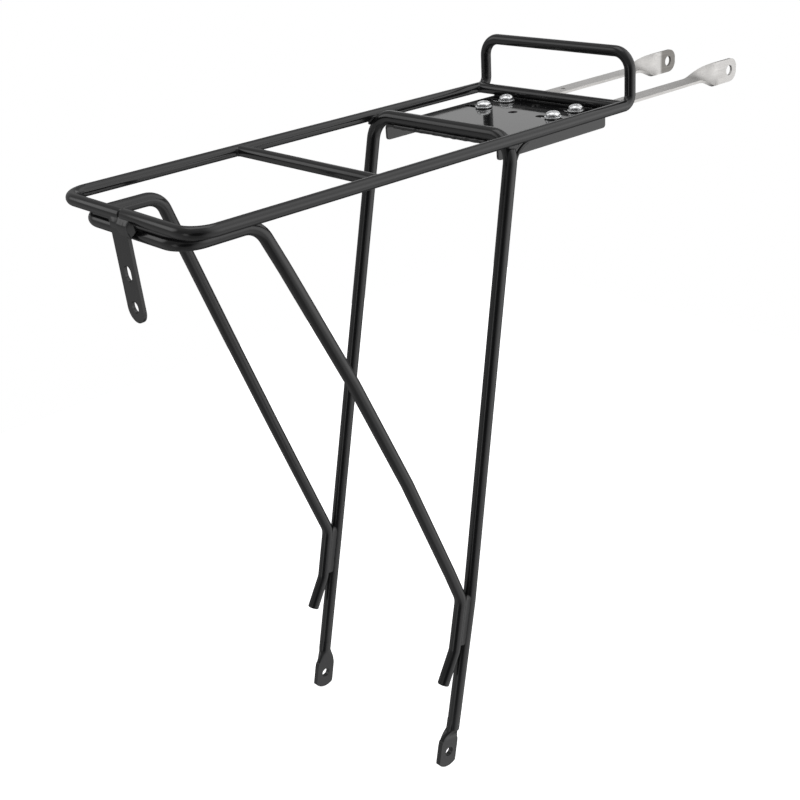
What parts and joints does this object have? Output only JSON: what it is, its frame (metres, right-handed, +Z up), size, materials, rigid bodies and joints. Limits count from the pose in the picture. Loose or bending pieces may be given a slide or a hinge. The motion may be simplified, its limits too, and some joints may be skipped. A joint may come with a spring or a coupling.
{
  "type": "bicycle rear rack",
  "caption": "Black welded-rod luggage rack for a bicycle's rear, with a hooped platform, legs with flattened eyes, struts, and slotted steel stays that adjust and bolt to the frame.",
  "frame": {"origin": "the middle of the bounding box's bottom face, level with the lowest point of the leg tabs and on the centre plane", "axes": "+X to the front of the bicycle, +Y to its left, +Z up"},
  "size_m": [0.508, 0.1424, 0.4434],
  "materials": {
    "black_paint": "gloss black powder coat",
    "stay_steel": "satin plated steel strip",
    "zinc": "bright zinc-plated hardware"
  },
  "bodies": {
    "frame": {"platform_rail": "black_paint", "mid_cross_rod": "black_paint", "front_cross_rod": "black_paint", "leg_rod": "black_paint", "rear_strut_rod": "black_paint", "stay_plate": "black_paint", "reflector_bracket": "black_paint"},
    "left_clamp": {"left_front_top_washer": "zinc", "left_front_bottom_washer": "zinc"},
    "left_pivot": {"left_front_screw": "zinc", "left_front_nut": "zinc"},
    "left_strip": {"left_stay": "stay_steel"},
    "left_rear_clamp": {"left_rear_screw": "zinc", "left_rear_top_washer": "zinc", "left_rear_bottom_washer": "zinc", "left_rear_nut": "zinc"},
    "right_clamp": {"right_front_top_washer": "zinc", "right_front_bottom_washer": "zinc"},
    "right_pivot": {"right_front_screw": "zinc", "right_front_nut": "zinc"},
    "right_strip": {"right_stay": "stay_steel"},
    "right_rear_clamp": {"right_rear_screw": "zinc", "right_rear_top_washer": "zinc", "right_rear_bottom_washer": "zinc", "right_rear_nut": "zinc"}
  },
  "joints": [
    {"name": "left_lateral", "type": "slide", "parent": "frame", "child": "left_clamp", "axis": [0, 1, 0], "range_m": [0, 0.0098]},
    {"name": "left_swivel", "type": "hinge", "parent": "left_clamp", "child": "left_pivot", "pos_m": [0.06661, 0.0262, 0.4008], "axis": [0, 0, 1], "range_deg": [-5, 7]},
    {"name": "left_length", "type": "slide", "parent": "left_pivot", "child": "left_strip", "axis": [1, 0, 0], "range_m": [-0.0134, 0.0049]},
    {"name": "left_rear_screw_slide", "type": "slide", "parent": "left_clamp", "child": "left_rear_clamp", "axis": [0, -1, 0], "range_m": [-0.002, 0.0028]},
    {"name": "right_lateral", "type": "slide", "parent": "frame", "child": "right_clamp", "axis": [0, -1, 0], "range_m": [-0.0055, 0.0015]},
    {"name": "right_swivel", "type": "hinge", "parent": "right_clamp", "child": "right_pivot", "pos_m": [0.06661, -0.0345, 0.4008], "axis": [0, 0, -1], "range_deg": [-5, 14]},
    {"name": "right_length", "type": "slide", "parent": "right_pivot", "child": "right_strip", "axis": [1, 0, 0], "range_m": [-0.004, 0.0144]},
    {"name": "right_rear_screw_slide", "type": "slide", "parent": "right_clamp", "child": "right_rear_clamp", "axis": [0, 1, 0], "range_m": [-0.002, 0.0055]}
  ],
  "couplings": [
    {"joint": "left_rear_screw_slide", "follows": "left_swivel", "m_per_rad": 0.0222},
    {"joint": "right_rear_screw_slide", "follows": "right_swivel", "m_per_rad": 0.0222}
  ]
}
